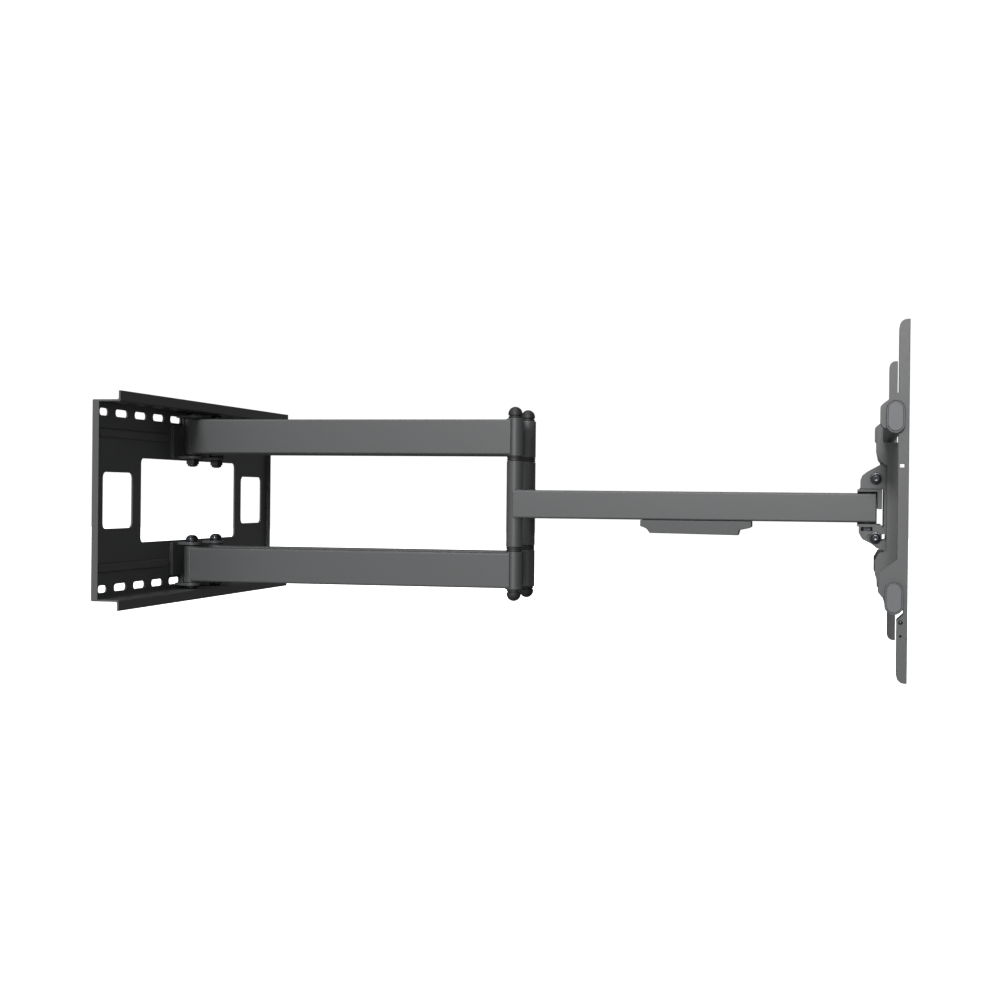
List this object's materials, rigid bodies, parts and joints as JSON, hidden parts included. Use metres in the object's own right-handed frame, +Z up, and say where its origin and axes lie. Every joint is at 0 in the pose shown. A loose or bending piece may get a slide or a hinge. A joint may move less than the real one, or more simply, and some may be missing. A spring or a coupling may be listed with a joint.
{
  "type": "full motion tv wall mount",
  "caption": "Full motion television wall mount: slotted wall plate, paired folding arms, tilting and levelling head, and sliding vertical brackets on oval rails.",
  "frame": {"origin": "on the back of the wall plate, on its vertical centre line, 85 mm above the plate's horizontal centre line, where the flat upper band lies on the wall", "axes": "+Z up, +Y into the wall, -Y towards the room and the television, -X towards the left arm as seen from the room"},
  "size_m": [0.6426, 1.0269, 0.425],
  "materials": {
    "powder_coat": "fine textured charcoal powder coat",
    "black_plastic": "moulded black plastic with a fine spark texture",
    "nylon_bush": "turned black nylon",
    "zinc_fastener": "black zinc plated steel"
  },
  "bodies": {
    "wall": {"wall_plate": "powder_coat", "wall_bracket_upper": "powder_coat", "wall_bracket_lower": "powder_coat", "wall_bolt_upper_left": "zinc_fastener", "wall_bolt_upper_right": "zinc_fastener", "wall_bolt_lower_left": "zinc_fastener", "wall_bolt_lower_right": "zinc_fastener", "wall_nut_upper_left": "zinc_fastener", "wall_nut_upper_right": "zinc_fastener", "wall_nut_lower_left": "zinc_fastener", "wall_nut_lower_right": "zinc_fastener", "wall_bush_upper_left": "nylon_bush", "wall_bush_upper_right": "nylon_bush", "wall_bush_lower_left": "nylon_bush", "wall_bush_lower_right": "nylon_bush"},
    "left_arm": {"arm_upper_left": "powder_coat", "arm_lower_left": "powder_coat", "elbow_pin_left": "zinc_fastener", "elbow_cap_top_left": "black_plastic", "elbow_cap_bottom_left": "black_plastic", "elbow_bush_upper_left": "nylon_bush", "elbow_bush_lower_left": "nylon_bush"},
    "right_arm": {"arm_upper_right": "powder_coat", "arm_lower_right": "powder_coat", "elbow_pin_right": "zinc_fastener", "elbow_cap_top_right": "black_plastic", "elbow_cap_bottom_right": "black_plastic", "elbow_bush_upper_right": "nylon_bush", "elbow_bush_lower_right": "nylon_bush"},
    "left_forearm": {"forearm_left": "powder_coat", "cable_clip_left": "black_plastic"},
    "right_forearm": {"forearm_right": "powder_coat"},
    "yoke": {"head_yoke": "powder_coat", "head_bolt_left": "zinc_fastener", "head_bolt_right": "zinc_fastener", "head_nut_left": "zinc_fastener", "head_nut_right": "zinc_fastener", "head_bush_upper_left": "nylon_bush", "head_bush_upper_right": "nylon_bush", "head_bush_lower_left": "nylon_bush", "head_bush_lower_right": "nylon_bush", "tilt_bolt_left": "zinc_fastener", "tilt_bolt_right": "zinc_fastener", "tilt_lock_bolt_left": "zinc_fastener", "tilt_lock_bolt_right": "zinc_fastener"},
    "tilt_head": {"tilt_bracket": "powder_coat", "level_bolt_upper": "zinc_fastener", "level_bolt_lower": "zinc_fastener"},
    "level_frame": {"level_plate": "powder_coat", "rail_upper": "powder_coat", "rail_lower": "powder_coat", "rail_cap_upper_left": "black_plastic", "rail_cap_upper_right": "black_plastic", "rail_cap_lower_left": "black_plastic", "rail_cap_lower_right": "black_plastic"},
    "left_bracket": {"tv_bracket_left": "powder_coat", "bracket_lock_screw_left": "zinc_fastener"},
    "right_bracket": {"tv_bracket_right": "powder_coat", "bracket_lock_screw_right": "zinc_fastener"}
  },
  "joints": [
    {"name": "left_wall_hinge", "type": "hinge", "parent": "wall", "child": "left_arm", "pos_m": [-0.045, -0.0235, -0.085], "axis": [0, 0, -1], "range_deg": [0, 87]},
    {"name": "left_elbow_hinge", "type": "hinge", "parent": "left_arm", "child": "left_forearm", "pos_m": [-0.045, -0.5025, -0.085], "axis": [0, 0, 1], "range_deg": [0, 174]},
    {"name": "left_head_hinge", "type": "hinge", "parent": "left_forearm", "child": "yoke", "pos_m": [-0.045, -0.9815, -0.085], "axis": [0, 0, -1], "range_deg": [0, 87]},
    {"name": "right_wall_hinge", "type": "hinge", "parent": "wall", "child": "right_arm", "pos_m": [0.045, -0.0235, -0.085], "axis": [0, 0, 1], "range_deg": [0, 87]},
    {"name": "right_elbow_hinge", "type": "hinge", "parent": "right_arm", "child": "right_forearm", "pos_m": [0.045, -0.5025, -0.085], "axis": [0, 0, -1], "range_deg": [0, 174]},
    {"name": "tilt", "type": "hinge", "parent": "yoke", "child": "tilt_head", "pos_m": [0, -0.9925, -0.0465], "axis": [1, 0, 0], "range_deg": [-5, 8]},
    {"name": "level", "type": "hinge", "parent": "tilt_head", "child": "level_frame", "pos_m": [0, -1.0063, -0.085], "axis": [0, -1, 0], "range_deg": [-3, 3]},
    {"name": "left_bracket_slide", "type": "slide", "parent": "level_frame", "child": "left_bracket", "axis": [1, 0, 0], "range_m": [-0.003, 0.2]},
    {"name": "right_bracket_slide", "type": "slide", "parent": "level_frame", "child": "right_bracket", "axis": [-1, 0, 0], "range_m": [-0.003, 0.2]}
  ],
  "couplings": [
    {"joint": "left_elbow_hinge", "follows": "left_wall_hinge", "ratio": 2},
    {"joint": "left_head_hinge", "follows": "left_wall_hinge", "ratio": 1},
    {"joint": "right_wall_hinge", "follows": "left_wall_hinge", "ratio": 1},
    {"joint": "right_elbow_hinge", "follows": "left_wall_hinge", "ratio": 2}
  ]
}
